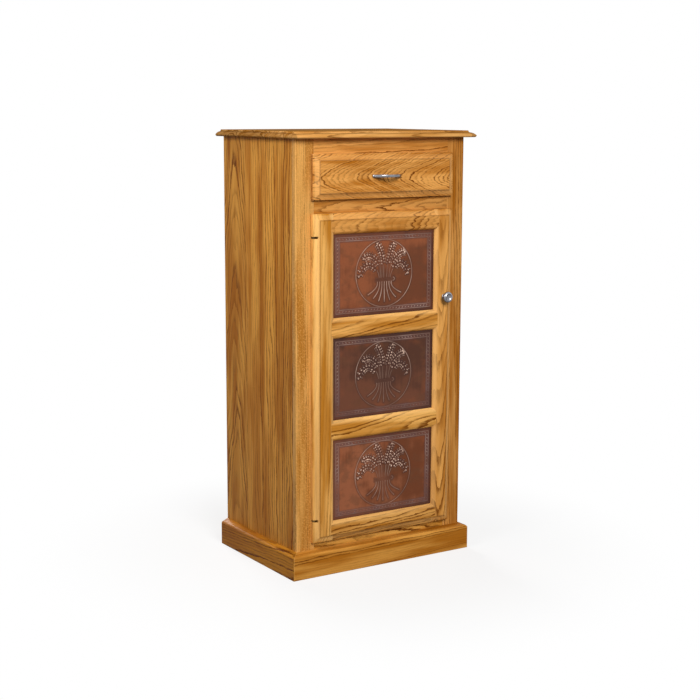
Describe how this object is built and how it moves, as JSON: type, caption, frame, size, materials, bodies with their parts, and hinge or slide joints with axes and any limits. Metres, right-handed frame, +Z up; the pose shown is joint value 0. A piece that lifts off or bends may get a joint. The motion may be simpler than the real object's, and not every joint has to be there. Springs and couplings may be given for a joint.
{
  "type": "jelly cupboard",
  "caption": "Free-standing oak cupboard with a dovetailed drawer above a framed door of punched copper panels, shelves inside, a moulded top and a moulded base.",
  "frame": {"origin": "on the floor, in the middle of the part's outline from above with its door and drawer shut", "axes": "+Z up, -Y towards the front of the cupboard, +X to the right seen from the front"},
  "size_m": [0.611, 0.455, 1.232],
  "materials": {
    "oak": "golden oak under clear satin lacquer",
    "inside_oak": "sanded and sealed",
    "plywood": "sealed plywood",
    "drawer_maple": "sealed maple",
    "copper": "aged copper sheet under lacquer",
    "satin_nickel": "satin nickel plate",
    "zinc_steel": "zinc plate",
    "hinge_brass": "dark antique brass",
    "catch_plastic": "moulded",
    "magnet_iron": "ground",
    "pad_rubber": "soft pad"
  },
  "bodies": {
    "case": {"top_board": "oak", "left_side": "oak", "right_side": "oak", "back_panel": "plywood", "bottom_board": "inside_oak", "frame_left_stile": "oak", "frame_right_stile": "oak", "frame_top_rail": "oak", "frame_middle_rail": "oak", "frame_bottom_rail": "oak", "base_front": "oak", "base_left": "oak", "base_right": "oak", "base_back_rail": "inside_oak", "base_glue_blocks": "inside_oak", "top_cleats": "inside_oak", "case_screws": "zinc_steel", "shelf_upper": "inside_oak", "shelf_middle": "inside_oak", "shelf_lower": "inside_oak", "slide_block_left": "inside_oak", "slide_block_right": "inside_oak", "slide_case_channels": "zinc_steel", "hinge_case_leaf_upper": "hinge_brass", "hinge_case_leaf_lower": "hinge_brass", "hinge_pins": "hinge_brass", "catch_body": "catch_plastic", "catch_magnet": "magnet_iron"},
    "door": {"door_left_stile": "oak", "door_right_stile": "oak", "door_top_rail": "oak", "door_upper_rail": "oak", "door_lower_rail": "oak", "door_bottom_rail": "oak", "copper_panel_top": "copper", "copper_panel_middle": "copper", "copper_panel_bottom": "copper", "panel_stops": "inside_oak", "hinge_door_leaf_upper": "hinge_brass", "hinge_door_leaf_lower": "hinge_brass", "door_screws": "zinc_steel", "door_knob": "satin_nickel", "catch_strike": "zinc_steel", "door_pads": "pad_rubber"},
    "drawer": {"drawer_front": "oak", "drawer_box_front": "drawer_maple", "drawer_box_back": "drawer_maple", "drawer_left_side": "drawer_maple", "drawer_right_side": "drawer_maple", "drawer_bottom": "plywood", "drawer_pull": "satin_nickel", "drawer_screws": "zinc_steel", "slide_drawer_channels": "zinc_steel", "drawer_pads": "pad_rubber"},
    "slide_runners": {"slide_middle_channels": "zinc_steel"},
    "outer_bearings": {"slide_outer_cages": "zinc_steel"},
    "inner_bearings": {"slide_inner_cages": "zinc_steel"}
  },
  "joints": [
    {"name": "door_hinge", "type": "hinge", "parent": "case", "child": "door", "pos_m": [-0.2285, -0.1855, 0.554], "axis": [0, 0, -1], "range_deg": [0, 145]},
    {"name": "drawer_slide", "type": "slide", "parent": "case", "child": "drawer", "axis": [0, -1, 0], "range_m": [0, 0.34]},
    {"name": "runner_slide", "type": "slide", "parent": "case", "child": "slide_runners", "axis": [0, -1, 0], "range_m": [0, 0.17]},
    {"name": "outer_bearing_slide", "type": "slide", "parent": "case", "child": "outer_bearings", "axis": [0, -1, 0], "range_m": [0, 0.085]},
    {"name": "inner_bearing_slide", "type": "slide", "parent": "case", "child": "inner_bearings", "axis": [0, -1, 0], "range_m": [0, 0.255]}
  ],
  "couplings": [
    {"joint": "runner_slide", "follows": "drawer_slide", "ratio": 0.5},
    {"joint": "outer_bearing_slide", "follows": "drawer_slide", "ratio": 0.25},
    {"joint": "inner_bearing_slide", "follows": "drawer_slide", "ratio": 0.75}
  ]
}
